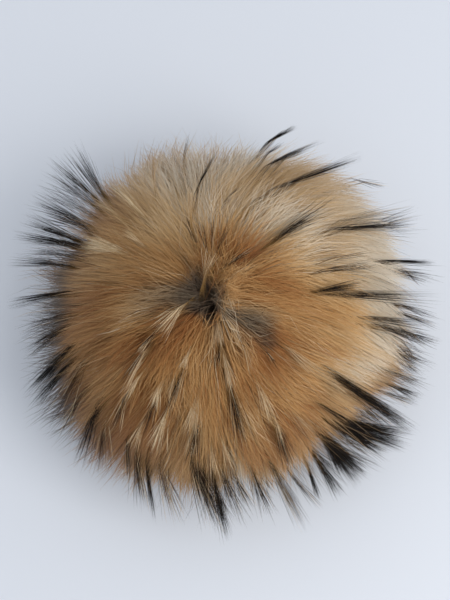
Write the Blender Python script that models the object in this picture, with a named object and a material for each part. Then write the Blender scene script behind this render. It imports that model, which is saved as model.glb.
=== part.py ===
"""Long-haired fur pom pom, lying on a level surface with its crown upward.

A stuffed ball of pelt carries the fur. The fur is modelled as three-sided locks whose roots are
fused into the ball and which stand apart everywhere else. The hair parts at the crown and lies
away from that parting on every side. Under the ball the locks are short and lie level on the
surface. The origin is at the middle of the flat spot on which the pom pom rests, and +Z is up.
"""

import math

import bmesh
import bpy
import numpy as np
from mathutils import Vector

MM = 0.001

# The pelt ball, in millimetres. Its lowest facets are cut off level, which leaves the flat spot.
PELT_RADIUS = 38.0
PELT_CENTRE_HEIGHT = 35.0
PELT_SUBDIVISIONS = 3
PELT_UNEVENNESS = 0.16          # of a facet's edge, sideways

# The parting at the crown, as degrees from straight up and the bearing that it leans to.
PARTING_LEAN = 9.0
PARTING_BEARING = 138.0

# How far the fur reaches from the ball's centre, in millimetres, by bearing.
# A bearing of 0 is +X and 90 is +Y.
#   bearing  reach
REACH = (
    (0.0, 96.0),
    (15.0, 100.0),
    (30.0, 99.0),
    (45.0, 97.0),
    (60.0, 97.0),
    (75.0, 93.0),
    (90.0, 90.0),
    (105.0, 93.0),
    (120.0, 94.0),
    (135.0, 99.0),
    (150.0, 103.0),
    (165.0, 103.0),
    (180.0, 98.0),
    (195.0, 92.0),
    (210.0, 88.0),
    (225.0, 85.0),
    (240.0, 86.0),
    (255.0, 90.0),
    (270.0, 96.0),
    (285.0, 87.0),
    (300.0, 91.0),
    (315.0, 94.0),
    (330.0, 98.0),
    (345.0, 94.0),
)

# The share of that reach which the fur has at each angle down from straight up.
#   down   share
FULLNESS = (
    (0.0, 0.84),
    (30.0, 0.90),
    (60.0, 0.96),
    (80.0, 1.00),
    (98.0, 1.00),
    (111.0, 0.84),
    (127.0, 0.64),
    (180.0, 0.55),
)

# How many degrees a lock's tip has moved away from the parting, by the angle of its root.
#   root   lean
PARTING_FLOW = (
    (0.0, 0.0),
    (8.0, 16.0),
    (20.0, 24.0),
    (40.0, 24.0),
    (70.0, 15.0),
    (100.0, 5.0),
    (130.0, 0.0),
    (180.0, 0.0),
)

# How many degrees the surface below turns a lock's tip upward, by its angle down from straight up.
#   down   lift
FLOOR_FLOW = (
    (0.0, 0.0),
    (95.0, 0.0),
    (115.0, 4.0),
    (130.0, 10.0),
    (149.0, 22.0),
    (180.0, 45.0),
)
LEAN_ONSET = 1.2                # above 1, a lock leans more towards its tip than at its root
LIFT_ONSET = 2.0                # above 1, the surface turns a lock mostly near its root
FLOOR_SOFTNESS = 5.0            # height in which a drooping lock comes to lie level
FLOOR_SQUEEZE = 0.42            # what is left of a lock's height once it lies level

# One lock. The cone is the space between its neighbours, and widths are shares of that cone.
ROOT_GAP = 0.9                  # of bare pelt beside each root, in millimetres
BARE_SPOT = 31.0                # degrees around straight down without locks
LOCK_SIDES = ((0, 1), (1, 2), (2, 0))
LENGTH_LOSS = 0.18              # of the reach, on the shortest lock
#   along  width
LOCK_PROFILE = (
    (0.24, 0.84),
    (0.52, 0.74),
    (0.80, 0.40),
)
TIP_WANDER = 0.55               # how far a tip strays towards one corner of its cone

FUR_COLOUR = (0.26, 0.13, 0.05, 1.0)
FUR_ROUGHNESS = 0.75
SMALLEST = 1e-6
SEED = 7


def look_up(table, angle):
    """Read a table of (angle, value) rows at any angle, in between as straight lines."""
    angles, values = zip(*table)
    return float(np.interp(angle, angles, values))


def reach_at(bearing):
    """The reach at a bearing, once around the pom pom."""
    angles, values = zip(*REACH)
    return float(np.interp(bearing, angles, values, period=360.0))


def direction(down, bearing):
    """The unit vector at an angle down from +Z and a bearing from +X, both in degrees."""
    down, bearing = math.radians(down), math.radians(bearing)
    flat = math.sin(down)
    return np.array((flat * math.cos(bearing), flat * math.sin(bearing), math.cos(down)))


UP = direction(0.0, 0.0)
PARTING = direction(PARTING_LEAN, PARTING_BEARING)


def turned_from(pole, ray, degrees):
    """A ray turned by some degrees away from a pole, within the plane that holds both."""
    cosine = float(np.clip(ray @ pole, -1.0, 1.0))
    across = ray - cosine * pole
    length = np.linalg.norm(across)
    if length < SMALLEST:
        return ray
    angle = math.acos(cosine) + math.radians(degrees)
    return math.cos(angle) * pole + math.sin(angle) * across / length


def angle_to(pole, ray):
    """The angle between a pole and a ray, in degrees."""
    return math.degrees(math.acos(float(np.clip(ray @ pole, -1.0, 1.0))))


def laid_level(height):
    """The height that a point of the fur has once the surface holds it up."""
    bend = FLOOR_SOFTNESS * math.log1p(math.exp(height / FLOOR_SOFTNESS))
    settled = FLOOR_SQUEEZE * height + (1.0 - FLOOR_SQUEEZE) * bend
    return max(settled, 0.0)


def fur_point(ray, along):
    """Where the fur that grows along a ray from the ball's centre is, from root 0 to tip 1."""
    lean = look_up(PARTING_FLOW, angle_to(PARTING, ray))
    ray = turned_from(PARTING, ray, lean * along ** LEAN_ONSET)
    lift = look_up(FLOOR_FLOW, angle_to(UP, ray))
    ray = turned_from(UP, ray, -lift * (1.0 - (1.0 - along) ** LIFT_ONSET))
    bearing = math.degrees(math.atan2(ray[1], ray[0])) % 360.0
    reach = reach_at(bearing) * look_up(FULLNESS, angle_to(UP, ray))
    point = ray * (PELT_RADIUS + along * (reach - PELT_RADIUS))
    point[2] = laid_level(point[2] + PELT_CENTRE_HEIGHT)
    return point


def pelt_ball(mesh, chance):
    """The stuffed ball of pelt about its own centre, with slightly uneven facets."""
    crown = Vector((0.0, 0.0, 1.0)).rotation_difference(Vector(PARTING))
    bmesh.ops.create_icosphere(
        mesh,
        subdivisions=PELT_SUBDIVISIONS,
        radius=PELT_RADIUS,
        matrix=crown.to_matrix().to_4x4(),
    )
    stray = PELT_UNEVENNESS * min(edge.calc_length() for edge in mesh.edges)
    for vert in mesh.verts:
        shifted = np.array(vert.co) + chance.uniform(-stray, stray, 3)
        vert.co = shifted * PELT_RADIUS / np.linalg.norm(shifted)


def grow_lock(mesh, face, chance):
    """Raise one lock from a facet of the ball: rings along its length, then one pointed tip."""
    ring = list(face.verts)
    mesh.faces.remove(face)
    corners = [np.array(vert.co) / PELT_RADIUS for vert in ring]
    middle = sum(corners) / len(corners)
    length = 1.0 - LENGTH_LOSS * chance.uniform() ** 2
    stray = chance.dirichlet((1.0, 1.0, 1.0)) - 1.0 / 3.0
    tip = middle + TIP_WANDER * sum(share * corner for share, corner in zip(stray, corners))
    for along, width in LOCK_PROFILE:
        axis = middle + (tip - middle) * along
        rays = [axis + (corner - middle) * width for corner in corners]
        upper = [mesh.verts.new(fur_point(ray / np.linalg.norm(ray), along * length)) for ray in rays]
        for near, far in LOCK_SIDES:
            mesh.faces.new((ring[near], ring[far], upper[far], upper[near]))
        ring = upper
    point = mesh.verts.new(fur_point(tip / np.linalg.norm(tip), length))
    for near, far in LOCK_SIDES:
        mesh.faces.new((ring[near], ring[far], point))


def build_pompom():
    """The ball, its locks and the flat spot, as one closed solid."""
    chance = np.random.default_rng(SEED)
    mesh = bmesh.new()
    pelt_ball(mesh, chance)
    covered = [
        face for face in mesh.faces
        if angle_to(-UP, np.array(face.calc_center_median().normalized())) > BARE_SPOT
    ]
    bmesh.ops.inset_individual(mesh, faces=covered, thickness=ROOT_GAP, use_even_offset=True)
    for vert in mesh.verts:
        vert.co = vert.co.normalized() * PELT_RADIUS
    roots = mesh.verts[:]
    for face in covered:
        grow_lock(mesh, face, chance)
    bmesh.ops.translate(mesh, vec=(0.0, 0.0, PELT_CENTRE_HEIGHT), verts=roots)
    cut = bmesh.ops.bisect_plane(
        mesh,
        geom=mesh.verts[:] + mesh.edges[:] + mesh.faces[:],
        dist=SMALLEST,
        plane_co=(0.0, 0.0, 0.0),
        plane_no=(0.0, 0.0, -1.0),
        clear_outer=True,
    )
    rim = [part for part in cut["geom_cut"] if isinstance(part, bmesh.types.BMEdge)]
    bmesh.ops.contextual_create(mesh, geom=rim)
    bmesh.ops.recalc_face_normals(mesh, faces=mesh.faces)
    bmesh.ops.scale(mesh, vec=(MM, MM, MM), verts=mesh.verts)
    data = bpy.data.meshes.new("fur_pompom")
    mesh.to_mesh(data)
    mesh.free()
    data.shade_smooth()
    pompom = bpy.data.objects.new("fur_pompom", data)
    bpy.context.scene.collection.objects.link(pompom)
    return pompom


def fur_material():
    """Tan fur: warm, matt hair."""
    material = bpy.data.materials.new("tan_fur")
    material.use_nodes = True
    shader = material.node_tree.nodes["Principled BSDF"]
    shader.inputs["Base Color"].default_value = FUR_COLOUR
    shader.inputs["Roughness"].default_value = FUR_ROUGHNESS
    shader.inputs["Metallic"].default_value = 0.0
    return material


for old in list(bpy.data.objects):
    bpy.data.objects.remove(old, do_unlink=True)

build_pompom().data.materials.append(fur_material())
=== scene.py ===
"""Dresses the solid of a long-haired fur pom pom with its coat.

Dense underwool makes the round tan body. Longer guard hair stands through it in tufts, cream below
and near black at the tips. All of it grows from a stuffed ball of pelt and parts at the crown.

Lengths in the tables are millimetres and angles are degrees. A bearing of 0 is +X and 90 is +Y.
"""

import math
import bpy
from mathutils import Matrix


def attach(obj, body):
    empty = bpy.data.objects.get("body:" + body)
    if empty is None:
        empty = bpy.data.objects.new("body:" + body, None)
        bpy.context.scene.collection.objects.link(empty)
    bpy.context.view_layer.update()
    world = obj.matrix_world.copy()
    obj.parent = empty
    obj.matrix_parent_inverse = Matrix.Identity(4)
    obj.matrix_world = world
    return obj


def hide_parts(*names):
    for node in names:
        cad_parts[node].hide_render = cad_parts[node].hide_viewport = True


bl_info = {
    "name": "Fur Pom Pom",
    "version": (1, 0, 0),
    "blender": (4, 5, 0),
    "location": "View3D > Sidebar > Pom Pom",
    "description": "Grows the coat of a fur pom pom over its solid and sets its stage",
    "category": "Object",
}

import bmesh
import bpy
import numpy as np
from bpy.props import FloatProperty, FloatVectorProperty, IntProperty, PointerProperty
from mathutils import Vector

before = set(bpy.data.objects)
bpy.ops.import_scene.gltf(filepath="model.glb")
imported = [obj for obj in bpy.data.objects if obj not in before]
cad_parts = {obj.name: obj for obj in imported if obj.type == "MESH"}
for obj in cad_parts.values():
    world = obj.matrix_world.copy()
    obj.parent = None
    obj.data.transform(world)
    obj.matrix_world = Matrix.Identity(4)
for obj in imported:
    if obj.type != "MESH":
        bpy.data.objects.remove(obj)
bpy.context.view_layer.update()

SOLID = "fur_pompom"
BODY = "root"
MM = 0.001

# The pelt ball, and the parting at its crown.
PELT_RADIUS = 38.0
PELT_CENTRE_HEIGHT = 35.0
PARTING_LEAN = 6.0
PARTING_BEARING = 155.0

# How far the coat reaches from the ball's centre, around the pom pom.
#   bearing  wool  hair
REACH = (
    (0, 84, 96),
    (15, 87, 100),
    (30, 92, 99),
    (45, 94, 97),
    (60, 95, 97),
    (75, 91, 93),
    (90, 90, 92),
    (105, 92, 95),
    (120, 90, 96),
    (135, 88, 99),
    (150, 83, 103),
    (165, 80, 103),
    (180, 78, 98),
    (195, 79, 92),
    (210, 81, 90),
    (225, 83, 89),
    (240, 80, 89),
    (255, 75, 90),
    (270, 76, 96),
    (285, 76, 87),
    (300, 75, 91),
    (315, 71, 94),
    (330, 76, 98),
    (345, 85, 94),
)

# The share of that reach at each angle down from straight up.
#   down   share
FULLNESS = (
    (0, 0.84),
    (30, 0.90),
    (60, 0.96),
    (80, 1.00),
    (98, 1.00),
    (111, 0.86),
    (127, 0.68),
    (180, 0.58),
)

# Degrees that a hair's tip has moved from the parting, by the angle of its root.
#   root   lean
PARTING_FLOW = (
    (0, 6),
    (4, 30),
    (12, 44),
    (30, 46),
    (50, 36),
    (70, 23),
    (100, 8),
    (130, 0),
    (180, 0),
)
LEAN_ONSET = 1.7  # above 1, a hair leans more towards its tip than at its root
EVEN_FLOW = 0.7  # how much of the lean counts when hairs are spread out evenly

# Degrees that a hair's tip is combed sideways, anticlockwise as seen from above.
#   bearing  turn
COMB = (
    (0, -14),
    (30, -22),
    (60, -26),
    (85, -14),
    (110, 2),
    (150, 6),
    (180, 0),
    (215, -6),
    (250, -4),
    (280, 0),
    (315, 8),
    (340, 2),
)
COMB_ONSET = 1.6

# Degrees that the surface below turns a hair's tip up, by its angle down from straight up.
#   down   lift
FLOOR_FLOW = (
    (0, 0),
    (95, 0),
    (115, 4),
    (130, 10),
    (149, 22),
    (180, 45),
)
LIFT_ONSET = 2.0  # above 1, the surface turns a hair mostly near its root
FLOOR_SOFTNESS = 5.0  # height in which drooping hair comes to lie level
FLOOR_SQUEEZE = 0.42  # what is left of its height once it lies level
FLOOR_CLEARANCE = 0.3
BARE_SPOT = 20.0  # degrees around straight down without hair

# The camera's place, which also says where the marks in the tables below lie on the coat.
VIEW_ELEVATION = 76.0
VIEW_DISTANCE = 560.0
VIEW_HEIGHT = 276.0  # what the picture's height covers at the ball's centre

# Dark tufts on the crown's side, as the camera sees them: where the first hairs leave the wool,
# where the longest tip ends, how many hairs, how far they fan out, and their shade.
#   from: right, up   to: right, up   hairs  fan  shade
DARK_TUFTS = (
    (56, -24, 88, -46, 120, 2.2, 0.02),
    (49, -18, 82, -42, 36, 2.6, 0.08),
    (43, -33, 76, -53, 30, 2.0, 0.06),
    (55, -42, 87, -48, 130, 2.0, 0.02),
    (54, -43, 85, -53, 150, 2.2, 0.02),
    (51, -44, 77, -57, 100, 2.2, 0.02),
    (50, -42, 71, -54, 170, 2.4, 0.02),
    (46, -48, 62, -71, 150, 2.2, 0.02),
    (49, -50, 66, -68, 110, 2.0, 0.02),
    (47, -48, 58, -65, 140, 2.4, 0.02),
    (51, -52, 74, -64, 14, 1.2, 0.06),
    (44, -60, 55, -77, 70, 1.8, 0.03),
    (39, -61, 45, -79, 40, 0.9, 0.05),
    (25, -43, 33, -66, 44, 2.0, 0.10),
    (22, -61, 39, -92, 54, 2.0, 0.12),
    (31, -66, 46, -82, 26, 1.4, 0.15),
    (80, -11, 93, -14, 44, 2.4, 0.12),
    (78, -19, 94, -26, 40, 2.4, 0.12),
    (77, -25, 92, -31, 36, 1.6, 0.10),
    (75, -29, 91, -34, 24, 1.4, 0.12),
    (82, 0, 100, -8, 40, 2.2, 0.08),
    (20, 86, 34, 94, 40, 1.1, 0.04),
    (17, 79, 29, 86, 14, 1.0, 0.15),
    (19, 75, 46, 87, 34, 1.0, 0.08),
    (21, 64, 64, 80, 54, 1.5, 0.10),
    (13, 59, 20, 62, 8, 0.6, 0.30),
    (2, 61, 11, 68, 8, 0.5, 0.30),
    (24, 42, 45, 53, 32, 2.0, 0.10),
    (28, 45, 52, 58, 30, 3.4, 0.14),
    (50, 47, 87, 48, 46, 1.4, 0.05),
    (54, 50, 88, 56, 16, 2.2, 0.20),
    (46, 27, 72, 30, 20, 1.2, 0.12),
    (48, 32, 72, 36, 10, 0.8, 0.30),
    (73, 32, 98, 31, 44, 0.8, 0.03),
    (44, 18, 66, 21, 40, 1.2, 0.05),
    (46, 17, 100, 14, 50, 1.7, 0.09),
    (81, 12, 99, 6, 30, 1.6, 0.10),
    (67, 6, 96, 2, 36, 1.6, 0.06),
    (80, 3, 90, -6, 24, 2.2, 0.12),
    (82, -4, 90, -16, 22, 1.8, 0.10),
    (70, 3, 95, -5, 44, 2.0, 0.08),
    (2, 30, 15, 38, 22, 0.9, 0.28),
    (59, 70, 77, 65, 14, 1.2, 0.20),
    (83, 29, 91, 20, 14, 1.0, 0.25),
    (-7, 37, -11, 51, 9, 1.1, 0.15),
    (-5, 38, -4, 53, 9, 1.0, 0.20),
    (-13, 41, -18, 52, 7, 0.8, 0.22),
    (-2, 37, 4, 52, 9, 0.9, 0.15),
    (-13, 62, -2, 83, 24, 0.8, 0.15),
    (-18, 78, -15, 90, 8, 0.8, 0.20),
    (-55, 62, -69, 84, 46, 2.8, 0.10),
    (-57, 60, -78, 80, 44, 3.0, 0.08),
    (-59, 58, -82, 74, 34, 3.0, 0.09),
    (-61, 54, -84, 68, 26, 3.0, 0.10),
    (-62, 49, -89, 61, 44, 2.4, 0.09),
    (-63, 47, -84, 54, 44, 2.2, 0.08),
    (-65, 41, -92, 50, 60, 2.4, 0.06),
    (-66, 39, -94, 43, 70, 2.4, 0.04),
    (-66, 34, -90, 36, 26, 2.4, 0.10),
    (-69, 30, -98, 32, 40, 1.6, 0.06),
    (-69, 18, -98, 12, 50, 1.2, 0.03),
    (-70, 8, -94, -1, 24, 2.6, 0.10),
    (-70, 3, -92, -10, 60, 2.4, 0.08),
    (-69, -7, -89, -30, 110, 2.8, 0.03),
    (-69, -13, -87, -36, 60, 1.8, 0.04),
    (-64, -15, -77, -41, 56, 4.0, 0.26),
    (-63, -27, -75, -48, 26, 2.2, 0.15),
    (-57, -33, -66, -61, 70, 2.4, 0.06),
    (-54, -42, -56, -66, 44, 3.0, 0.25),
    (-44, -50, -43, -71, 34, 1.8, 0.12),
    (-40, -56, -37, -82, 60, 3.0, 0.22),
    (-35, -60, -31, -88, 40, 1.0, 0.05),
    (-29, -62, -21, -88, 60, 3.0, 0.34),
    (-14, -60, 0, -90, 180, 3.6, 0.16),
    (-5, -66, 3, -96, 90, 1.8, 0.05),
    (0, -66, 10, -88, 56, 3.2, 0.18),
    (5, -66, 14, -84, 40, 2.0, 0.12),
    (15, -68, 23, -85, 56, 3.0, 0.16),
    (-18, -19, -24, -38, 40, 2.2, 0.14),
    (4, -27, 11, -55, 76, 2.8, 0.14),
    (-45, -31, -51, -47, 40, 2.1, 0.15),
    (-31, -33, -36, -48, 26, 1.8, 0.20),
    (-11, -45, -14, -63, 36, 2.2, 0.18),
    (-1, -8, -3, -18, 20, 1.3, 0.12),
    (-30, 0, -40, -11, 22, 1.1, 0.15),
    (-37, -11, -47, -26, 22, 1.6, 0.25),
    (19, -8, 26, -18, 14, 1.0, 0.30),
)

# Locks that show the pale band of the guard hair, in the same columns.
PALE_LOCKS = (
    (-8, 27, -5, 38, 36, 2.0, 0.66),
    (-19, 11, -31, -2, 40, 2.4, 0.82),
    (-33, -4, -40, -13, 16, 1.3, 0.80),
    (-36, -10, -46, -30, 16, 1.5, 0.76),
    (-2, 3, -1, -9, 44, 1.5, 0.74),
    (1, -12, 6, -29, 26, 1.7, 0.74),
    (-16, -11, -19, -20, 20, 1.5, 0.74),
    (-47, 37, -65, 41, 80, 2.2, 0.90),
    (-37, 40, -46, 46, 12, 1.5, 0.74),
    (-39, 56, -53, 69, 38, 2.0, 0.84),
    (-50, 55, -61, 61, 20, 1.5, 0.72),
    (-15, 55, -15, 69, 21, 1.6, 0.68),
    (-32, 69, -31, 84, 21, 2.0, 0.62),
    (-39, -22, -46, -33, 18, 1.7, 0.76),
    (-29, -26, -33, -37, 24, 1.8, 0.78),
    (-26, -39, -32, -58, 44, 2.3, 0.80),
    (-11, -31, -14, -49, 34, 1.9, 0.78),
    (-14, -48, -17, -60, 20, 1.7, 0.72),
    (0, -52, 5, -66, 26, 2.0, 0.74),
    (-5, -56, -3, -69, 26, 1.9, 0.74),
    (8, -60, 11, -71, 16, 1.6, 0.68),
    (17, -26, 24, -44, 32, 2.1, 0.74),
    (24, -40, 30, -54, 18, 2.0, 0.66),
    (33, -38, 44, -50, 20, 2.0, 0.66),
    (-37, -44, -41, -56, 18, 1.6, 0.74),
    (-22, -22, -25, -34, 14, 1.6, 0.66),
    (10, -6, 14, -20, 16, 2.0, 0.64),
    (30, -8, 46, -22, 22, 2.2, 0.68),
    (48, -22, 62, -32, 16, 2.2, 0.66),
)

# Where the coat opens and its dark depth shows: right, up, radius and strength.
OPENINGS = (
    (-6.5, 13, 4.6, 1.0),
    (-9.5, 20, 4.0, 1.0),
    (-16, 21, 3.0, 0.5),
    (-3, 23, 3.0, 0.5),
    (4, 29, 2.5, 0.5),
    (12, 8, 3.5, 0.9),
    (17, 1, 3.0, 0.8),
    (24, -4, 2.5, 0.6),
)

# Patches of the wool: right, up, radius, how much paler, and how much of the roots' grey shows.
# Besides the coat's own tone, some rows are painted light (paler) and some painted shade (darker
# and greyer, showing the dark roots), as marked above them.
TONE_AND_PAINTED_LIGHT_PATCHES = (
    # partly painted light: the top is made paler than its own cream, as the key light from the lower
    # right reaches it less
    (-22, 88, 28, 0.50, 0.0),
    (16, 92, 32, 0.50, 0.0),
    (-4, 72, 18, 0.50, 0.0),
    (24, 70, 20, 0.22, 0.0),
    (46, 62, 16, 0.38, 0.0),
    (-44, 56, 14, 0.16, 0.0),
    (52, 28, 22, 0.22, 0.0),
    (60, 42, 17, 0.32, 0.0),
    (70, 60, 24, 0.46, 0.0),
    (6, 52, 20, -0.12, 0.0),
    (-50, 50, 14, -0.10, 0.0),
    (84, 30, 22, 0.74, 0.0),
    (84, 6, 22, 0.72, 0.0),
    (77, -20, 20, 0.44, 0.0),
    (62, -8, 12, 0.10, 0.0),
    (8, -78, 16, 0.50, 0.0),
    (48, -62, 16, 0.12, 0.0),
    (-38, 17, 14, 0.12, 0.45),
    (-25, 16, 8, 0.12, 0.40),
    # painted shade: darker, greyer wool in and around the openings at the parting
    (-16, 34, 6, -0.16, 0.34),
    (-14, 20, 7, 0.0, 0.90),
    (-7, 15, 9, -0.30, 1.0),
    (-7, 33, 4, 0.30, 0.0),
    (-10, 42, 15, -0.18, 0.0),
    (16, 40, 14, -0.05, 0.0),
    (34, 36, 12, -0.24, 0.0),
    (30, 17, 15, -0.03, 0.06),
    (44, 18, 10, -0.22, 0.0),
    (26, 3, 12, -0.04, 0.25),
    (17, 3, 7, 0.34, 0.50),
    # painted shade: darker, greyer wool in the small openings below the parting
    (12, 10, 3, -0.40, 0.30),
    (13, 3, 2.6, -0.50, 0.30),
    (19, 4, 2.6, -0.40, 0.30),
    (24, -7, 5, -0.10, 0.50),
    (6, 8, 5, 0.35, 0.15),
    (8, -3, 6, 0.44, 0.25),
    (11, -14, 6, 0.20, 0.30),
    (24, -12, 9, -0.16, 0.15),
    (-4, -26, 14, 0.30, 0.0),
    (20, -26, 12, 0.02, 0.10),
    (3, -53, 9, -0.16, 0.0),
    # partly painted light: paler wool where the dark tufts beside it shade it
    (19, -57, 10, 0.40, 0.0),
    (-11, -58, 7, 0.20, 0.0),
    (-30, -3, 14, -0.26, 0.0),
    (-48, -21, 14, -0.36, 0.0),
    # partly painted shade: the left edge, away from the key light, shows more of the roots' dark grey
    (-62, -4, 20, -0.06, 0.30),
    (-86, 46, 20, -0.05, 0.80),
    (-88, 14, 24, -0.05, 0.90),
    (-84, -18, 24, -0.05, 0.90),
    (-73, -48, 20, -0.05, 0.80),
    (-48, -62, 12, -0.05, 0.50),
    (-36, -48, 18, 0.20, 0.10),
)

# How loose the underwool's edge is: the share of its strands that stand out, and how far the
# longest do, as a share of the wool's depth.
#   bearing  share  length
FRINGE = (
    (0, 0.14, 0.14),
    (20, 0.25, 0.20),
    (45, 0.30, 0.20),
    (70, 0.20, 0.12),
    (100, 0.20, 0.16),
    (130, 0.35, 0.35),
    (160, 0.60, 0.50),
    (200, 0.60, 0.50),
    (230, 0.35, 0.30),
    (260, 0.18, 0.20),
    (300, 0.14, 0.14),
)
CALM_EDGE = 0.12  # both, on the crown

# How dense the coat is, by the angle of the root down from straight up.
#   down   share
THICKNESS = (
    (0, 1.0),
    (80, 1.0),
    (110, 0.7),
    (180, 0.45),
)

# The share of the random side tufts kept where the camera could see their tips, by bearing.
# Those on the underside are all kept.
#   bearing  share
SIDE_TUFTS = (
    (0, 0.9),
    (12, 0.7),
    (25, 0.1),
    (40, 0.0),
    (190, 0.0),
    (220, 0.5),
    (260, 1.0),
    (320, 1.0),
    (360, 0.9),
)

# Columns of REACH.
WOOL = 1
HAIR = 2

# Columns of FRINGE.
EDGE_SHARE = 1
EDGE_LENGTH = 2

# The pelt ball's facets, its unevenness as a share of its radius, and how close its lumps are.
PELT_SUBDIVISIONS = 5
PELT_UNEVENNESS = 0.02
PELT_LUMPS = 6.0

# Steps along a strand, and the share of its full width at each.
WOOL_STEPS = np.array((0.0, 0.48, 0.82, 1.0))
WOOL_TAPER = np.array((1.0, 1.0, 0.85, 0.3))
HAIR_STEPS = np.array((0.0, 0.3, 0.5, 0.67, 0.84, 1.0))
HAIR_TAPER = np.array((0.3, 0.5, 0.8, 1.05, 0.75, 0.2))
HAIR_EXIT = 0.5  # the step at which a tuft's hair comes out of the wool
STRAND_SIDES = 3

# The finest and the coarsest strand, as shares of the full width.
WOOL_WIDTHS = (0.75, 1.2)
HAIR_WIDTHS = (0.75, 1.25)

# How underwool gathers into locks, and locks into wisps. A hold is the share of the way to its
# group's middle that a tip goes, and a drift turns the tip by some radians. An onset above 1 keeps
# that from the root.
WOOL_PARTS = ("underwool_crown", "underwool_shoulder", "underwool_sides", "underwool_base")
RAYS_PER_STRAND = 1.6  # asked for, because the coat is thinner below
WISPS = 300
LOOSE_SHARE = 0.25  # of the strands, which hardly join their lock
LOOSE_HOLD = 0.1
LOCK_HOLD = (0.2, 0.6)
LOCK_ONSET = 1.4
LOCK_DRIFT = 0.022
WISP_HOLD = 0.3
WISP_ONSET = 1.6
WISP_DRIFT = 0.07
STRAND_DRIFT = 0.034
DRIFT_ONSET = 1.8
CRIMP = 0.004
CALM_ANGLE = 32.0  # degrees from the parting, within which strands drift less
CALMEST = 0.1  # what is left of the drift there
WOOL_SOFTNESS = 0.62  # how far the wool's normals are turned to the ball's

# How far strands of underwool reach, as shares of the coat's depth.
WOOL_LENGTH = 0.97
STRAND_LENGTHS = (-0.16, 0.04)
LOCK_LENGTHS = 0.025
WISP_LENGTHS = 0.05
RIM_START = 40.0  # degrees down from straight up at which the loose edge starts
RIM_WIDTH = 30.0  # and over which it comes in

# The wool's tone, 0 for brown to 1 for pale, and how much each cause moves it.
WOOL_TONE = 0.42
BROAD_TONE = 0.07
BROAD_CLOSENESS = 3.5
FINE_TONE = 0.05
FINE_CLOSENESS = 9.0
LOCK_TONES = 0.045
WISP_TONES = 0.07
STRAND_TONES = 0.05
STRAND_TAILS = 3.0  # a low number makes more strands of an odd tone
TONE_LIMITS = (0.02, 0.98)

# Where along a strand the colour of its tip comes from, by its share of grey and painted shade:
# more of it takes the colour from nearer the dark root.
#   grey and shade  place
GREYING_AND_SHADE = (
    (0.0, 1.0),
    (0.3, 0.35),
    (1.0, 0.06),
)

# How the coat gives way to its openings and dips around the parting.
OPENING_PUSH = 0.75  # of an opening's radius, by which it moves the hair in it
PUSHED_FROM = 0.5  # of a hair's length, from which the push is full
BARE_STRENGTH = 1.0  # of an opening that has no hair across it
BARE_SHARES = (0.5, 1.2)  # of its radius
PARTING_SPOT = (-6.0, 16.0)  # where the camera sees the parting
PARTING_DIP = 3.0
PARTING_WIDTH = 28.0

# How far a placed tuft lies above the longest wool, and how high over the ball its middle and its
# tips stay beyond the wool's edge, as shares of its start's height.
TUFT_START = -3.5
TUFT_MIDDLE = -1.2
TUFT_END = 0.5
MIDDLE_LEAST = 0.7
END_LEAST = 0.35

# A tuft's hairs. Fans and lengths are shares of the tuft's own.
TUFT_STAGGER = 0.45  # over which its hairs come out of the wool
TUFT_REACH = 1.04
TUFT_LENGTH_LOSS = 0.45
LENGTH_LOSS_ONSET = 1.4  # above 1, few of its hairs are short
FAN_ASIDE = 0.8
FAN_TAILS = 4.0  # a low number makes more hairs that stray
FAN_LIMIT = 3.0
FAN_PROUD = 0.4  # across that, in a tuft that lies flat
FAN_UPRIGHT = 0.5  # and what it gains in one that stands up
FAN_AT_START = 0.22
TUFT_SPLIT = 5  # points into which its tips part
SPLIT_SPREAD = 0.45
SPLIT_ONSET = 1.5
ROOT_SETBACK = 0.3  # of the ball's radius, by which its roots lie behind its start
ROOT_STRAY = 0.03
RISE_BACK = 0.4  # where the hairs turn under the wool, as shares of its depth
RISE_DEEP = 0.16
BAND_STRAY = 0.04  # how far the bands of colour differ from hair to hair
TUFT_TONES = 0.04
TUFT_TONES_BY_SHADE = 0.12
PALE_AMONG_DARK = 0.12  # share of a hazy dark tuft's hairs that are cream to the tip
PALE_LIFT = 0.6
HAZY_SHADES = (0.1, 0.5)

# The random tufts on the sides.
RAYS_PER_TUFT = 2.2
SIDE_TUFT_SPAN = (0.66, 1.02)  # of the coat's depth, from its start to its tips
UNDERSIDE = -0.5  # how far a tuft's tips turn away from the camera on the underside
PAST_RIM = -0.02  # and just past the rim
SIDE_TUFT_LIFT = 0.5  # how far its tips are turned straight out
SIDE_TUFT_STRAY = 3.0
SIDE_TUFT_BOW = 0.03
SIDE_TUFT_HAIRS = (12, 40)
SIDE_TUFT_FANS = (1.4, 4.0)
SIDE_TUFT_SHADES = (0.04, 0.28)

# The hairs that stand alone: where they start and come to their full number, in degrees from the
# parting, and how often they are dark-tipped, by degrees down from straight up.
SINGLES_START = 10.0
SINGLES_WIDTH = 60.0
SINGLE_DRIFT = 0.06
SINGLE_ONSET = 1.6
SINGLE_LENGTHS = (0.70, 1.0)
DARK_START = 45.0
DARK_WIDTH = 45.0
DARK_LEAST = 0.08
DARK_SHARE = 0.6
DARK_TONES = (0.03, 0.35)
TAN_TONES = (0.48, 0.7)

# The stage. Colours of light are linear, and the shift is in shares of the picture's height.
FLOOR_SIZE = 6000.0
SENSOR_HEIGHT = 36.0
SHIFT_RIGHT = 0.005
SHIFT_UP = 0.05
KEY_PLACE = (570.0, -310.0, 740.0)
KEY_SIZE = 600.0
KEY_COLOUR = (1.0, 0.97, 0.93)
ROOM_COLOUR = (0.90, 0.94, 1.0, 1.0)

SEED = 11
NOISE_WAVES = 9
RAYS_AT_ONCE = 4000  # keeps the tables of distances small
SIGHT_GUESS = 80.0  # the coat's radius that the search for a seen place starts from
SIGHT_ROUNDS = 8
SMALLEST = 1e-9
UV_NAME = "OFBake"
TONE_WIDTH = 0.002  # of the UV map, that a strand takes up across


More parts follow.
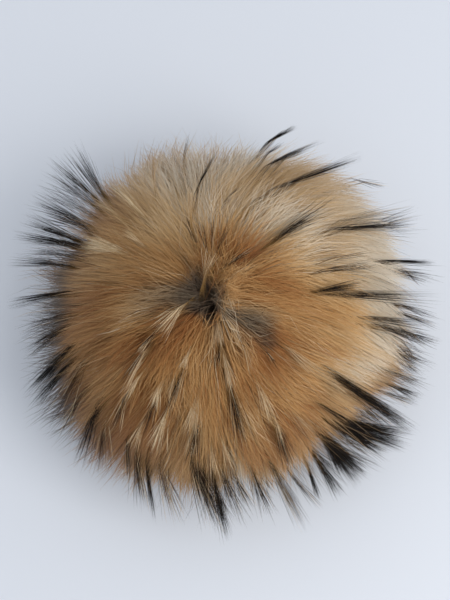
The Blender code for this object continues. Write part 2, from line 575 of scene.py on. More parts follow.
def linear(hex_colour):
    """An sRGB hex colour as linear red, green, blue and alpha."""
    channels = [int(hex_colour[start:start + 2], 16) / 255.0 for start in (1, 3, 5)]
    return [c / 12.92 if c <= 0.04045 else ((c + 0.055) / 1.055) ** 2.4 for c in channels] + [1.0]


# ---- The way the coat grows ----


def read_table(table, places, column=1, period=None):
    """A column of a table at any places in its first column, in between as straight lines."""
    columns = list(zip(*table))
    return np.interp(places, columns[0], columns[column], period=period)


def unit(vectors):
    """Vectors scaled to a length of one."""
    return vectors / np.maximum(np.linalg.norm(vectors, axis=-1, keepdims=True), SMALLEST)


def direction(down, bearing):
    """The unit vectors at angles down from +Z and bearings from +X."""
    down, bearing = np.radians(down), np.radians(bearing)
    flat = np.sin(down)
    return np.stack((flat * np.cos(bearing), flat * np.sin(bearing), np.cos(down)), axis=-1)


def spherical(rays):
    """Each ray's angle down from +Z and its bearing from +X."""
    down = np.degrees(np.arccos(np.clip(rays[..., 2], -1.0, 1.0)))
    return down, np.degrees(np.arctan2(rays[..., 1], rays[..., 0])) % 360.0


BALL_CENTRE = np.array((0.0, 0.0, PELT_CENTRE_HEIGHT))
PARTING = direction(PARTING_LEAN, PARTING_BEARING)
PARTING_RIGHT = unit(np.array((1.0, 0.0, 0.0)) - PARTING[0] * PARTING)
PARTING_FAR = np.cross(PARTING, PARTING_RIGHT)
PICTURE_RIGHT = np.array((1.0, 0.0, 0.0))
PICTURE_UP = direction(VIEW_ELEVATION, 90.0)
TOWARD_CAMERA = direction(90.0 - VIEW_ELEVATION, -90.0)


def from_parting(rays):
    """Each ray's angle from the parting and its bearing around it."""
    angle = np.degrees(np.arccos(np.clip(rays @ PARTING, -1.0, 1.0)))
    bearing = np.degrees(np.arctan2(rays @ PARTING_FAR, rays @ PARTING_RIGHT)) % 360.0
    return angle, bearing


def about_parting(angle, bearing):
    """The ray at an angle from the parting and a bearing around it."""
    angle, bearing = np.radians(angle)[..., None], np.radians(bearing)[..., None]
    across = np.cos(bearing) * PARTING_RIGHT + np.sin(bearing) * PARTING_FAR
    return np.cos(angle) * PARTING + np.sin(angle) * across


def coat_radius(rays, column):
    """How far the coat reaches along rays from the ball's centre."""
    down, bearing = spherical(rays)
    return read_table(REACH, bearing, column, 360.0) * read_table(FULLNESS, down)


def seen_spot(right, up, proud, least=0.0):
    """The place from the ball's centre that the camera sees at a place in its picture.

    It lies on the wool, or proud of it by some millimetres. Beyond the wool's edge it lies at the
    least height over the plane through the ball's centre that faces the camera.
    """
    radius = SIGHT_GUESS
    height = 0.0
    for _ in range(SIGHT_ROUNDS):
        nearer = (VIEW_DISTANCE - height) / VIEW_DISTANCE
        across = (right * PICTURE_RIGHT + up * PICTURE_UP) * nearer
        height = math.sqrt(max(radius ** 2 - across @ across, least ** 2))
        spot = across + height * TOWARD_CAMERA
        radius = float(coat_radius(unit(spot), WOOL)) + proud
    return spot


def dip(right, up):
    """How far the coat lies below its full reach around the parting, as the camera sees it."""
    apart = math.hypot(right - PARTING_SPOT[0], up - PARTING_SPOT[1]) / PARTING_WIDTH
    return PARTING_DIP * math.exp(-apart ** 2)


def laid_on_floor(points):
    """Points from the ball's centre, moved to the scene, with those near the floor laid level."""
    height = points[..., 2] + PELT_CENTRE_HEIGHT
    bend = FLOOR_SOFTNESS * np.logaddexp(0.0, height / FLOOR_SOFTNESS)
    height = FLOOR_SQUEEZE * height + (1.0 - FLOOR_SQUEEZE) * bend
    placed = points.copy()
    placed[..., 2] = np.maximum(height, FLOOR_CLEARANCE)
    return placed


def coat_points(rays, along, column):
    """Where hairs that grow along rays are, from root 0 to tip 1 of the coat's reach."""
    angle, bearing = from_parting(rays)
    bent = np.minimum(along, 1.0)
    angle = angle + read_table(PARTING_FLOW, angle) * bent ** LEAN_ONSET
    bearing = bearing + read_table(COMB, bearing, period=360.0) * bent ** COMB_ONSET
    down, bearing = spherical(about_parting(angle, bearing))
    down = down - read_table(FLOOR_FLOW, down) * (1.0 - (1.0 - bent) ** LIFT_ONSET)
    rays = direction(down, bearing)
    reach = coat_radius(rays, column)
    return rays * (PELT_RADIUS + along * (reach - PELT_RADIUS))[..., None]


def opened(points, along):
    """Points of the coat pushed aside from where it opens, more so towards the tips."""
    grown = np.minimum(along / PUSHED_FROM, 1.0)[..., None]
    for right, up, radius, strength in OPENINGS:
        middle = seen_spot(right, up, 0.0)
        size = radius / np.linalg.norm(middle)
        rays = unit(points)
        aside = rays - unit(middle)
        apart = np.linalg.norm(aside, axis=-1, keepdims=True)
        push = OPENING_PUSH * strength * size * np.exp(-((apart / size) ** 2)) * grown
        moved = unit(rays + aside / np.maximum(apart, SMALLEST) * push)
        points = moved * np.linalg.norm(points, axis=-1, keepdims=True)
    return points


def bars_opening(points, chance):
    """Which hairs still cross one of the wide openings, above their roots."""
    crosses = np.zeros(len(points), dtype=bool)
    middles = (points[:, 1:] + points[:, :-1]) / 2.0
    rays = unit(np.concatenate((points[:, 1:], middles), axis=1))
    for right, up, radius, strength in OPENINGS:
        if strength >= BARE_STRENGTH:
            middle = seen_spot(right, up, 0.0)
            apart = np.linalg.norm(rays - unit(middle), axis=-1) * np.linalg.norm(middle)
            bare = radius * chance.uniform(*BARE_SHARES, (len(points), 1))
            crosses |= (apart < bare).any(axis=1)
    return crosses


def even_rays(count, chance):
    """Rays spread evenly over where the coat's tips lie, traced back to their roots."""
    angle = np.degrees(np.arccos(1.0 - 2.0 * chance.uniform(0.0, 1.0, count)))
    bearing = chance.uniform(0.0, 360.0, count)
    roots = np.linspace(0.0, 180.0, 361)
    tips = roots + EVEN_FLOW * read_table(PARTING_FLOW, roots)
    rays = about_parting(np.interp(angle, tips, roots), bearing)
    down = spherical(rays)[0]
    keep = chance.uniform(size=count) < read_table(THICKNESS, down)
    return rays[keep & (down < 180.0 - BARE_SPOT)]


def soft_noise(rays, closeness, seed):
    """A smooth random value from about -1 to 1 for each ray."""
    chance = np.random.default_rng(seed)
    waves = unit(chance.normal(size=(NOISE_WAVES, 3)))
    shifts = chance.uniform(0.0, 2.0 * math.pi, NOISE_WAVES)
    return np.cos(closeness * (rays @ waves.T) + shifts).sum(axis=-1) / math.sqrt(NOISE_WAVES)


def nearest(rays, centres):
    """The index of the nearest centre for each ray."""
    parts = np.array_split(rays, max(1, len(rays) // RAYS_AT_ONCE))
    return np.concatenate([np.argmax(part @ centres.T, axis=1) for part in parts])


def wool_tone(points):
    """Each strand's tone, brown 0 to pale 1, and the share of grey and painted shade at each point.
    """
    rays = unit(points)
    tips = rays[:, -1]
    tone = WOOL_TONE + BROAD_TONE * soft_noise(tips, BROAD_CLOSENESS, SEED + 5)
    tone = tone + FINE_TONE * soft_noise(tips, FINE_CLOSENESS, SEED + 6)
    grey_and_shade = np.zeros(rays.shape[:2])
    # the patches paint light into the tone and shade into the grey, besides the coat's own colour
    for right, up, radius, paler, more_grey_and_shade in TONE_AND_PAINTED_LIGHT_PATCHES:
        middle = seen_spot(right, up, 0.0)
        apart = np.linalg.norm(rays - unit(middle), axis=-1) * np.linalg.norm(middle) / radius
        share = np.exp(-apart ** 2)
        tone = tone + paler * share[:, -1]
        grey_and_shade = grey_and_shade + more_grey_and_shade * share
    return tone, np.minimum(grey_and_shade, 1.0)


def edge_length(rays, chance):
    """The extra length of those strands that stand out of the coat's edge."""
    down, bearing = spherical(rays)
    rim = np.clip((down - RIM_START) / RIM_WIDTH, 0.0, 1.0)
    share, length = [
        CALM_EDGE + rim * (read_table(FRINGE, bearing, column, 360.0) - CALM_EDGE)
        for column in (EDGE_SHARE, EDGE_LENGTH)
    ]
    stands_out = chance.uniform(size=len(rays)) < share
    return length * stands_out * chance.uniform(size=len(rays))


def gathered_ways(rays, locks, wisps, drift, along, chance):
    """Each strand's way through the coat, gathered towards its lock's and its wisp's middle."""
    count = len(rays)
    loose = chance.uniform(size=count) < LOOSE_SHARE
    hold = np.where(loose, LOOSE_HOLD, chance.uniform(*LOCK_HOLD, count))[:, None]
    to_lock = (locks - rays)[:, None] * (hold * along ** LOCK_ONSET)[..., None]
    to_wisp = (wisps - locks)[:, None] * (WISP_HOLD * along ** WISP_ONSET)[..., None]
    calm = np.clip(from_parting(rays)[0] / CALM_ANGLE, CALMEST, 1.0)[:, None]
    drift = (drift + chance.normal(0.0, STRAND_DRIFT, (count, 3))) * calm
    ways = rays[:, None] + to_lock + to_wisp + drift[:, None] * (along ** DRIFT_ONSET)[..., None]
    return ways + chance.normal(0.0, CRIMP, ways.shape) * along[..., None]


def bow(start, bend, end, step):
    """Points on the bow from start to end that heads for a third point."""
    return (1.0 - step) ** 2 * start + 2.0 * step * (1.0 - step) * bend + step ** 2 * end


def bend_over(start, middle, end):
    """The point that a bow from start to end heads for where it passes over a middle."""
    return 2.0 * middle - (start + end) / 2.0


def tuft_hairs(start, middle, end, hairs, fan, chance):
    """Points of a tuft's hairs, which come out of the wool one after another and fan out.

    Each hair bends once under the wool and once over it. The tips part into a few points.
    """
    ahead = unit(end - start)
    side = unit(np.cross(ahead, middle))
    lifted = np.cross(side, ahead)
    upright = abs(float(ahead @ unit(middle)))
    stray = np.clip(chance.standard_t(FAN_TAILS, (hairs, 1)), -FAN_LIMIT, FAN_LIMIT)
    aside = FAN_ASIDE * fan * stray
    proud = chance.normal(0.0, (FAN_PROUD + FAN_UPRIGHT * upright) * fan, (hairs, 1))
    points = chance.normal(0.0, SPLIT_SPREAD * fan, (TUFT_SPLIT, 3))
    split = points[chance.integers(0, TUFT_SPLIT, hairs)]
    emerge = TUFT_STAGGER * chance.uniform(size=(hairs, 1))
    tip = TUFT_REACH - TUFT_LENGTH_LOSS * chance.uniform(size=(hairs, 1)) ** LENGTH_LOSS_ONSET
    over = bend_over(start, middle, end)

    def place(share):
        fanned = FAN_AT_START + (1.0 - FAN_AT_START) * share
        spread = (side * aside + lifted * proud) * fanned + split * share ** SPLIT_ONSET
        return bow(start, over, end, share) + spread

    starts, middles, ends = place(emerge), place((emerge + tip) / 2.0), place(tip)
    bends = bend_over(starts, middles, ends)
    way = unit(bends - starts)
    stray = chance.normal(0.0, ROOT_STRAY, (hairs, 3))
    roots = unit(unit(starts) - way * ROOT_SETBACK + stray) * PELT_RADIUS
    deep = np.linalg.norm(starts - roots, axis=-1, keepdims=True)
    under = starts - (way * RISE_BACK + unit(starts) * RISE_DEEP) * deep
    steps = HAIR_STEPS[None, :, None]
    below = np.minimum(steps / HAIR_EXIT, 1.0)
    above = np.maximum((steps - HAIR_EXIT) / (1.0 - HAIR_EXIT), 0.0)
    inner = bow(roots[:, None], under[:, None], starts[:, None], below)
    outer = bow(starts[:, None], bends[:, None], ends[:, None], above)
    return np.where(steps < HAIR_EXIT, inner, outer)


# ---- Strands as meshes ----


def strand_faces(rings):
    """One strand's triangles, between its root, its rings and its tip, as its own point numbers."""
    tip = 1 + rings * STRAND_SIDES
    last = tip - STRAND_SIDES
    faces = []
    for corner in range(STRAND_SIDES):
        after = (corner + 1) % STRAND_SIDES
        faces.append((0, 1 + after, 1 + corner))
        for near in range(1, last, STRAND_SIDES):
            far = near + STRAND_SIDES
            faces.append((near + corner, near + after, far + after))
            faces.append((near + corner, far + after, far + corner))
        faces.append((last + corner, last + after, tip))
    return np.array(faces)


def strand_mesh(name, points, widths, tones, along, softness=0.0):
    """One mesh of closed, three-sided strands, pointed at both ends.

    The UV map holds a strand's tone across and the way to its tip upwards. Softness turns the
    normals towards the ball's, as light spreads in dense wool.
    """
    points = laid_on_floor(points)
    count, steps = points.shape[:2]
    rings = steps - 2
    tangents = unit(np.gradient(points, axis=1))[:, 1:-1]
    outward = unit(points[:, 1:-1] - BALL_CENTRE)
    side = unit(np.cross(tangents, outward))
    over = np.cross(tangents, side)
    turn = np.linspace(0.0, 2.0 * math.pi, STRAND_SIDES, endpoint=False)[:, None]
    roll = np.random.default_rng(SEED).uniform(0.0, 2.0 * math.pi, count)[:, None, None, None]
    spread = np.cos(turn + roll) * side[:, :, None] + np.sin(turn + roll) * over[:, :, None]
    middle = points[:, 1:-1, None] + spread * widths[:, 1:-1, None, None] / 2.0
    middle[..., 2] = np.maximum(middle[..., 2], FLOOR_CLEARANCE / 2.0)
    middle = middle.reshape(count, rings * STRAND_SIDES, 3)
    verts = np.concatenate((points[:, :1], middle, points[:, -1:]), axis=1)
    first = np.arange(count)[:, None, None] * verts.shape[1]
    corners = (strand_faces(rings)[None] + first).reshape(-1)
    triangles = len(corners) // 3
    data = bpy.data.meshes.new(name)
    data.vertices.add(count * verts.shape[1])
    data.vertices.foreach_set("co", (verts * MM).astype(np.float32).ravel())
    data.loops.add(len(corners))
    data.loops.foreach_set("vertex_index", corners.astype(np.int32))
    data.polygons.add(triangles)
    data.polygons.foreach_set("loop_start", np.arange(0, len(corners), 3, dtype=np.int32))
    data.polygons.foreach_set("use_smooth", np.ones(triangles, dtype=bool))
    shift = (np.arange(STRAND_SIDES) - 1.0) * TONE_WIDTH
    across = np.concatenate(([0.0], np.tile(shift, rings), [0.0]))
    u = (tones[:, None] + across[None]).ravel()[corners]
    v = np.repeat(along[:, 1:-1], STRAND_SIDES, axis=1)
    v = np.concatenate((along[:, :1], v, along[:, -1:]), axis=1).ravel()[corners]
    layer = data.uv_layers.new(name=UV_NAME)
    layer.uv.foreach_set("vector", np.stack((u, v), axis=1).astype(np.float32).ravel())
    data.update(calc_edges=True)
    if softness > 0.0:
        ball = unit(verts - BALL_CENTRE)
        own = np.concatenate((ball[:, :1], spread.reshape(count, -1, 3), ball[:, -1:]), axis=1)
        normals = unit(own * (1.0 - softness) + ball * softness).reshape(-1, 3)
        data.normals_split_custom_set_from_vertices(normals.tolist())
    return data


def dress(name, data, material):
    """Put a piece in the scene, on the pom pom's body and in place of its plain solid."""
    piece = bpy.data.objects.new(name, data)
    bpy.context.scene.collection.objects.link(piece)
    data.materials.append(material)
    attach(piece, BODY)
    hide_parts(SOLID)
    return piece


# ---- Materials ----


def add_node(tree, kind, settings=None, links=None):
    """Add a node, set its properties and sockets, and link its inputs to other nodes' outputs."""
    node = tree.nodes.new(kind)
    for key, value in (settings or {}).items():
        if isinstance(key, str) and hasattr(node, key):
            setattr(node, key, value)
        else:
            node.inputs[key].default_value = value
    for key, (source, output) in (links or {}).items():
        tree.links.new(source.outputs[output], node.inputs[key])
    return node


def new_material(name):
    """An empty material and its node tree, with an output node."""
    material = bpy.data.materials.new(name)
    material.use_nodes = True
    tree = material.node_tree
    tree.nodes.clear()
    return material, tree, add_node(tree, "ShaderNodeOutputMaterial")


def set_ramp(node, stops):
    """Give a colour ramp its stops, as (place, hex colour) rows."""
    ramp = node.color_ramp
    while len(ramp.elements) > 1:
        ramp.elements.remove(ramp.elements[-1])
    ramp.elements[0].position = stops[0][0]
    ramp.elements[0].color = linear(stops[0][1])
    for place, colour in stops[1:]:
        ramp.elements.new(place).color = linear(colour)
    return node


def plain_material(name, colour, roughness):
    """A surface of one linear colour and one roughness."""
    material, tree, output = new_material(name)
    shader = add_node(
        tree, "ShaderNodeBsdfPrincipled", {"Base Color": colour, "Roughness": roughness}
    )
    tree.links.new(shader.outputs[0], output.inputs[0])
    return material


def hair_material(name, bands, surface):
    """Hair whose colour goes through bands from root to tip, each band by the strand's tone.

    bands holds (start, end, stops) rows: a band takes over between start and end of the hair's
    length, and its stops give the colour for each tone.
    """
    material, tree, output = new_material(name)
    place = add_node(tree, "ShaderNodeUVMap", {"uv_map": UV_NAME})
    split = add_node(tree, "ShaderNodeSeparateXYZ", links={0: (place, 0)})
    colour = None
    for start, end, stops in bands:
        band = set_ramp(add_node(tree, "ShaderNodeValToRGB", links={0: (split, 0)}), stops)
        if colour is None:
            colour = (band, 0)
            continue
        share = add_node(
            tree, "ShaderNodeMapRange",
            {"interpolation_type": "SMOOTHSTEP", "From Min": start, "From Max": end},
            {"Value": (split, 1)},
        )
        mixed = add_node(
            tree, "ShaderNodeMix", {"data_type": "RGBA"}, {0: (share, 0), 6: colour, 7: (band, 0)}
        )
        colour = (mixed, 2)
    shader = add_node(tree, "ShaderNodeBsdfPrincipled", surface, {"Base Color": colour})
    tree.links.new(shader.outputs[0], output.inputs[0])
    return material


def underwool_material():
    """Underwool: fine crimped keratin hair, matt, tan over a greyer root, so it scatters softly."""
    root = ((0.0, "#2a2019"), (0.4, "#5e4d3d"), (1.0, "#94846d"))
    shaft = (
        (0.0, "#694023"), (0.25, "#98602f"), (0.45, "#b4854f"), (0.7, "#cba472"), (1.0, "#e0cfb4"),
    )
    tip = (
        (0.0, "#784b2a"), (0.25, "#ac713a"), (0.45, "#c6975c"), (0.7, "#dcb988"), (1.0, "#f2e4cf"),
    )
    return hair_material(
        "underwool_keratin",
        ((0.0, 0.0, root), (0.08, 0.35, shaft), (0.7, 1.0, tip)),
        {"Roughness": 0.75, "Sheen Weight": 0.2, "Specular IOR Level": 0.25},
    )


def guard_hair_material():
    """Guard hair: coarse, smooth keratin hair with a slight gloss, cream below and black tipped."""
    root = ((0.0, "#5a4632"), (1.0, "#a08562"))
    shaft = ((0.0, "#94703f"), (1.0, "#b8925c"))
    tip = (
        (0.0, "#0d0907"), (0.1, "#19110b"), (0.4, "#4a3220"), (0.5, "#a67c50"), (1.0, "#f2dfba"),
    )
    return hair_material(
        "banded_guard_hair",
        ((0.0, 0.0, root), (0.15, 0.33, shaft), (0.38, 0.49, tip)),
        {"Roughness": 0.5, "Specular IOR Level": 0.12},
    )


def pelt_material():
    """Napped pelt on leather, dark brown, darkened further as painted shade for the openings' depth.
    """
    # painted shade: the pelt is darkened to stand for the shadow deep in the openings, where it shows
    return plain_material("napped_pelt", linear("#3a2d23"), 0.9)


def board_material(colour):
    """Painted board: matt and even, so shadows stay soft."""
    return plain_material("white_painted_board", tuple(colour), 0.6)


# ---- Settings ----


class PomPomCoat(bpy.types.PropertyGroup):
    """Sizes of the coat."""

    wool_count: IntProperty(
        name="Underwool strands",
        description="Strands of underwool in each of its four parts",
        default=14300,
    )
    wool_width: FloatProperty(
        name="Underwool width",
        description="Width of a strand of underwool, drawn coarser than the real 0.02 mm",
        default=0.25 * MM,
        subtype="DISTANCE",
        unit="LENGTH",
    )
    wool_locks: IntProperty(
        name="Wool locks",
        description="Small locks into which the underwool gathers",
        default=5200,
    )
    guard_count: IntProperty(
        name="Guard hairs",
        description="Guard hairs that stand singly",
        default=4000,
    )
    guard_width: FloatProperty(
        name="Guard hair width",
        description="Width of a guard hair, drawn coarser than the real 0.08 mm",
        default=0.13 * MM,
        subtype="DISTANCE",
        unit="LENGTH",
    )
    tuft_count: IntProperty(
        name="Tufts on the sides",
        description="Dark-tipped tufts on the sides and below",
        default=250,
    )


class PomPomStage(bpy.types.PropertyGroup):
    """The camera, the lights and the floor."""

    elevation: FloatProperty(
        name="Elevation",
        description="Camera's angle above the floor",
        default=math.radians(VIEW_ELEVATION),
        subtype="ANGLE",
        unit="ROTATION",
    )
    distance: FloatProperty(
        name="Distance",
        description="From the camera to the pom pom's middle",
        default=VIEW_DISTANCE * MM,
        subtype="DISTANCE",
        unit="LENGTH",
    )
    frame_height: FloatProperty(
        name="Frame height",
        description="Height of what the picture shows at the pom pom's middle",
        default=VIEW_HEIGHT * MM,
        subtype="DISTANCE",
        unit="LENGTH",
    )
    key_power: FloatProperty(
        name="Key light",
        description="Power of the soft light on the right",
        default=4.9,
        unit="POWER",
    )
    fill_strength: FloatProperty(
        name="Fill",
        description="Strength of the light from all around",
        default=0.81,
    )
    floor_colour: FloatVectorProperty(
        name="Floor",
        description="Pale floor",
        default=linear("#d6dae1"),
        size=4,
        subtype="COLOR",
    )


# ---- Pieces ----


class POMPOM_OT_pelt(bpy.types.Operator):
    """Make the stuffed ball of pelt that the hair grows from"""

    bl_idname = "pompom.pelt"
    bl_label = "Pelt Ball"

    def execute(self, context):
        mesh = bmesh.new()
        bmesh.ops.create_icosphere(mesh, subdivisions=PELT_SUBDIVISIONS, radius=1.0)
        rays = np.array([vert.co[:] for vert in mesh.verts])
        radius = PELT_RADIUS * (1.0 + PELT_UNEVENNESS * soft_noise(rays, PELT_LUMPS, SEED))
        spots = laid_on_floor(rays * radius[:, None])
        for vert, spot in zip(mesh.verts, spots):
            vert.co = spot * MM
        data = bpy.data.meshes.new("pelt_ball")
        mesh.to_mesh(data)
        mesh.free()
        data.shade_smooth()
        piece = dress("pelt_ball", data, pelt_material())
        return {"FINISHED"}


class POMPOM_OT_underwool(bpy.types.Operator):
    """Grow the dense underwool that gives the pom pom its round tan body"""

    bl_idname = "pompom.underwool"
    bl_label = "Underwool"

    def execute(self, context):
        coat = context.scene.pompom_coat
        chance = np.random.default_rng(SEED + 1)
        locks = even_rays(coat.wool_locks, chance)
        wisps = even_rays(WISPS, chance)
        lock_wisp = nearest(locks, wisps)
        lock_drift = chance.normal(0.0, LOCK_DRIFT, locks.shape)
        wisp_drift = chance.normal(0.0, WISP_DRIFT, wisps.shape)
        lock_length = chance.normal(0.0, LOCK_LENGTHS, len(locks))
        wisp_length = chance.normal(0.0, WISP_LENGTHS, len(wisps))
        lock_tone = chance.normal(0.0, LOCK_TONES, len(locks))
        wisp_tone = chance.normal(0.0, WISP_TONES, len(wisps))
        wanted = coat.wool_count * len(WOOL_PARTS)
        rays = even_rays(int(wanted * RAYS_PER_STRAND), chance)[:wanted]
        rays = rays[np.argsort(-rays[:, 2])]
        material = underwool_material()
        for name, part in zip(WOOL_PARTS, np.array_split(rays, len(WOOL_PARTS))):
            lock = nearest(part, locks)
            wisp = lock_wisp[lock]
            along = np.tile(WOOL_STEPS, (len(part), 1))
            drift = lock_drift[lock] + wisp_drift[wisp]
            ways = gathered_ways(part, locks[lock], wisps[wisp], drift, along, chance)
            length = WOOL_LENGTH + lock_length[lock] + wisp_length[wisp]
            length = length + chance.uniform(*STRAND_LENGTHS, len(part))
            length = length + edge_length(part, chance)
            points = opened(coat_points(unit(ways), along * length[:, None], WOOL), along)
            clear = ~bars_opening(points, chance)
            points, along, lock, wisp = points[clear], along[clear], lock[clear], wisp[clear]
            count = len(points)
            widths = coat.wool_width / MM * WOOL_TAPER * chance.uniform(*WOOL_WIDTHS, (count, 1))
            tone, grey_and_shade = wool_tone(points)
            tone = tone + lock_tone[lock] + wisp_tone[wisp]
            tone = np.clip(tone + STRAND_TONES * chance.standard_t(STRAND_TAILS, count), *TONE_LIMITS)
            # painted shade: where the patches add grey, the strand's tip takes the darker colour of
            # its root
            colour_at = along * read_table(GREYING_AND_SHADE, grey_and_shade)
            dress(name, strand_mesh(name, points, widths, tone, colour_at, WOOL_SOFTNESS), material)
        return {"FINISHED"}


class POMPOM_OT_guard_hair(bpy.types.Operator):
    """Grow the longer guard hair: single hairs, dark-tipped tufts and pale locks"""

    bl_idname = "pompom.guard_hair"
    bl_label = "Guard Hair"

    def execute(self, context):
        self.width = context.scene.pompom_coat.guard_width / MM
        self.material = guard_hair_material()
        self.chance = np.random.default_rng(SEED + 2)
        self.placed_tufts("guard_hair_crown_tufts", DARK_TUFTS)
        self.placed_tufts("guard_hair_pale_locks", PALE_LOCKS)
        self.side_tufts("guard_hair_side_tufts", context.scene.pompom_coat.tuft_count)
        self.single_hairs("guard_hair_single", context.scene.pompom_coat.guard_count)
        return {"FINISHED"}

    def hair_piece(self, name, points, tone):
        """One piece of guard hairs along points from the ball's centre."""
        count = len(points)
        widths = self.width * HAIR_TAPER * self.chance.uniform(*HAIR_WIDTHS, (count, 1))
        colour_at = np.clip(HAIR_STEPS + self.chance.normal(0.0, BAND_STRAY, (count, 1)), 0.0, 1.0)
        tone = np.clip(tone, *TONE_LIMITS)
        dress(name, strand_mesh(name, points, widths, tone, colour_at), self.material)

    def tuft_piece(self, name, tufts):
        """One piece of tufts, given as start, middle, end, hairs, fan and shade."""
        points, tone = [], []
        for start, middle, end, hairs, fan, shade in tufts:
            points.append(tuft_hairs(start, middle, end, hairs, fan, self.chance))
            pale = self.chance.uniform(size=hairs) < PALE_AMONG_DARK
            hazy = HAZY_SHADES[0] < shade < HAZY_SHADES[1]
            spread = TUFT_TONES + TUFT_TONES_BY_SHADE * shade
            stray = self.chance.normal(0.0, spread, hairs)
            tone.append(shade + PALE_LIFT * pale * hazy + stray)
        self.hair_piece(name, np.concatenate(points), np.concatenate(tone))

    def placed_tufts(self, name, rows):
        """Tufts that start and end where the camera sees them."""
        tufts = []
        for right, up, tip_right, tip_up, hairs, fan, shade in rows:
            half_right, half_up = (right + tip_right) / 2.0, (up + tip_up) / 2.0
            start = seen_spot(right, up, TUFT_START - dip(right, up))
            height = start @ TOWARD_CAMERA
            proud = TUFT_MIDDLE - dip(half_right, half_up)
            middle = seen_spot(half_right, half_up, proud, MIDDLE_LEAST * height)
            proud = TUFT_END - dip(tip_right, tip_up)
            end = seen_spot(tip_right, tip_up, proud, END_LEAST * height)
            tufts.append((start, middle, end, hairs, fan, shade))
        self.tuft_piece(name, tufts)

    def side_tufts(self, name, count):
        """Dark-tipped tufts at random, all around the sides and below."""
        rays = even_rays(int(count * RAYS_PER_TUFT), self.chance)
        spots = coat_points(rays[:, None], np.array([SIDE_TUFT_SPAN]), HAIR)
        toward = unit(spots[:, 1]) @ TOWARD_CAMERA
        seen_share = read_table(SIDE_TUFTS, spherical(spots[:, 1])[1])
        share = np.where(toward < UNDERSIDE, 1.0, seen_share)
        chosen = (toward < PAST_RIM) & (self.chance.uniform(size=len(rays)) < share)
        tufts = []
        for start, end in spots[chosen]:
            length = np.linalg.norm(end - start)
            outward = (end - start) * (1.0 - SIDE_TUFT_LIFT) + unit(start) * length * SIDE_TUFT_LIFT
            end = start + outward + self.chance.normal(0.0, SIDE_TUFT_STRAY, 3)
            middle = (start + end) / 2.0
            middle = middle + unit(middle) * SIDE_TUFT_BOW * np.linalg.norm(end - start)
            hairs = int(self.chance.integers(*SIDE_TUFT_HAIRS))
            fan = self.chance.uniform(*SIDE_TUFT_FANS)
            shade = self.chance.uniform(*SIDE_TUFT_SHADES)
            tufts.append((start, middle, end, hairs, fan, shade))
        self.tuft_piece(name, tufts)

    def single_hairs(self, name, count):
        """Hairs that stand alone, tan at the crown and often dark-tipped at the sides."""
        roots = even_rays(count, self.chance)
        share = (from_parting(roots)[0] - SINGLES_START) / SINGLES_WIDTH
        roots = roots[self.chance.uniform(size=len(roots)) < share]
        count = len(roots)
        along = np.tile(HAIR_STEPS, (count, 1))
        drift = self.chance.normal(0.0, SINGLE_DRIFT, (count, 3))
        ways = roots[:, None] + drift[:, None] * (along ** SINGLE_ONSET)[..., None]
        length = self.chance.uniform(*SINGLE_LENGTHS, count)
        points = opened(coat_points(unit(ways), along * length[:, None], HAIR), along)
        down = spherical(unit(points[:, -1]))[0]
        side = np.clip((down - DARK_START) / DARK_WIDTH, DARK_LEAST, 1.0)
        dark = self.chance.uniform(size=count) < DARK_SHARE * side
        tan = self.chance.uniform(*TAN_TONES, count)
        black = self.chance.uniform(*DARK_TONES, count)
        self.hair_piece(name, points, np.where(dark, black, tan))


def aim(thing, target):
    """Turn an object so that its -Z axis points at a place."""
    thing.rotation_euler = (Vector(target) - thing.location).to_track_quat("-Z", "Y").to_euler()


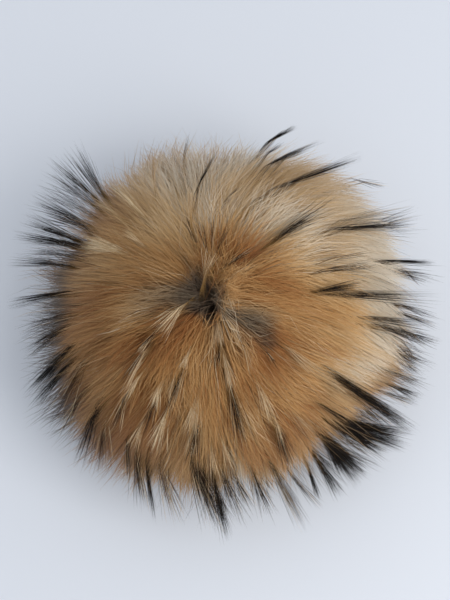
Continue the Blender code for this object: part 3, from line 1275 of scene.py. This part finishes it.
class POMPOM_OT_stage(bpy.types.Operator):
    """Set the pale floor, the soft lights and the camera at the photograph's angle"""

    bl_idname = "pompom.stage"
    bl_label = "Stage"

    def execute(self, context):
        middle = Vector((0.0, 0.0, PELT_CENTRE_HEIGHT * MM))
        self.lay_floor(context)
        self.set_camera(context.scene, middle)
        self.set_lights(context.scene, middle)
        context.scene.view_settings.view_transform = "Standard"
        return {"FINISHED"}

    def lay_floor(self, context):
        """The pale floor that the pom pom lies on."""
        bpy.ops.mesh.primitive_plane_add(size=FLOOR_SIZE * MM, location=(0.0, 0.0, 0.0))
        floor = context.active_object
        floor.name = "floor"
        floor.data.materials.append(board_material(context.scene.pompom_stage.floor_colour))

    def set_camera(self, scene, middle):
        """The camera at the photograph's angle, with the photograph's framing."""
        stage = scene.pompom_stage
        camera_data = bpy.data.cameras.new("camera")
        camera = bpy.data.objects.new("camera", camera_data)
        scene.collection.objects.link(camera)
        back = Vector((0.0, -math.cos(stage.elevation), math.sin(stage.elevation)))
        camera.location = middle + back * stage.distance
        aim(camera, middle)
        camera_data.sensor_fit = "VERTICAL"
        camera_data.sensor_height = SENSOR_HEIGHT
        camera_data.lens = SENSOR_HEIGHT * stage.distance / stage.frame_height
        camera_data.shift_x = SHIFT_RIGHT
        camera_data.shift_y = SHIFT_UP
        scene.camera = camera

    def set_lights(self, scene, middle):
        """The soft light on the right, and the light from all around."""
        key_data = bpy.data.lights.new("key", "AREA")
        key_data.shape = "SQUARE"
        key_data.size = KEY_SIZE * MM
        key_data.energy = scene.pompom_stage.key_power
        key_data.color = KEY_COLOUR
        key = bpy.data.objects.new("key", key_data)
        scene.collection.objects.link(key)
        key.location = [place * MM for place in KEY_PLACE]
        aim(key, middle)
        world = bpy.data.worlds.new("soft_room")
        world.use_nodes = True
        background = world.node_tree.nodes["Background"]
        background.inputs["Color"].default_value = ROOM_COLOUR
        background.inputs["Strength"].default_value = scene.pompom_stage.fill_strength
        scene.world = world


class POMPOM_PT_sidebar(bpy.types.Panel):
    """Lists the pom pom's pieces and their settings"""

    bl_idname = "POMPOM_PT_sidebar"
    bl_label = "Pom Pom"
    bl_space_type = "VIEW_3D"
    bl_region_type = "UI"
    bl_category = "Pom Pom"

    def draw(self, context):
        for settings in (context.scene.pompom_coat, context.scene.pompom_stage):
            box = self.layout.box()
            for name in settings.bl_rna.properties.keys():
                if name not in ("rna_type", "name"):
                    box.prop(settings, name)
        for operator in OPERATORS:
            self.layout.operator(operator.bl_idname)


OPERATORS = (POMPOM_OT_pelt, POMPOM_OT_underwool, POMPOM_OT_guard_hair, POMPOM_OT_stage)
CLASSES = (PomPomCoat, PomPomStage) + OPERATORS + (POMPOM_PT_sidebar,)


def register():
    """Add the classes and give the scene their settings."""
    for cls in CLASSES:
        bpy.utils.register_class(cls)
    bpy.types.Scene.pompom_coat = PointerProperty(type=PomPomCoat)
    bpy.types.Scene.pompom_stage = PointerProperty(type=PomPomStage)


def unregister():
    """Take the settings and the classes away again."""
    del bpy.types.Scene.pompom_stage
    del bpy.types.Scene.pompom_coat
    for cls in reversed(CLASSES):
        bpy.utils.unregister_class(cls)


def main():
    """Make the pieces and the stage."""
    register()
    bpy.ops.pompom.pelt()
    bpy.ops.pompom.underwool()
    bpy.ops.pompom.guard_hair()
    bpy.ops.pompom.stage()


if __name__ == "__main__":
    main()
